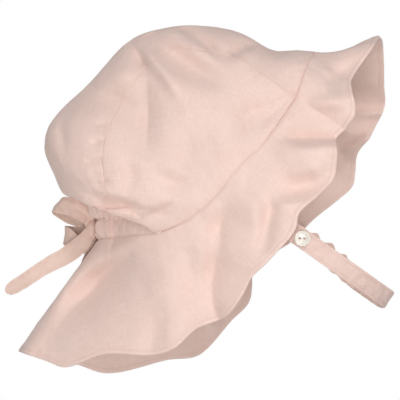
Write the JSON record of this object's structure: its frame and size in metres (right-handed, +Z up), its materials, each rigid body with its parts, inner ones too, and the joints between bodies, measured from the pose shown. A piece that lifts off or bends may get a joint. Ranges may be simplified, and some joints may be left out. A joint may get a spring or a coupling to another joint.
{
  "type": "sun hat",
  "caption": "Child's linen sun hat with a three-panel crown, wavy brim and neck flap, tied nape casing and buttoned chin strap.",
  "frame": {"origin": "inside of the crown's highest point, where the hat sits on the head", "axes": "+X where the face looks, +Z up, -Y the side with the button"},
  "size_m": [0.2809, 0.1571, 0.2499],
  "materials": {
    "linen": "pale dusty pink plain-weave linen",
    "linen_tape": "dusty pink linen tape, stitched along its edges",
    "shell": "polished pearl shell"
  },
  "bodies": {
    "root": {"crown_centre_band": "linen", "crown_side_near": "linen", "crown_side_far": "linen", "brim": "linen", "nape_casing": "linen", "tie_knot": "linen_tape", "bow_loop_near": "linen_tape", "bow_loop_far": "linen_tape", "tie_tail_near": "linen_tape", "tie_tail_far": "linen_tape", "chin_strap": "linen_tape", "strap_tab": "linen_tape", "button": "shell"}
  },
  "joints": []
}
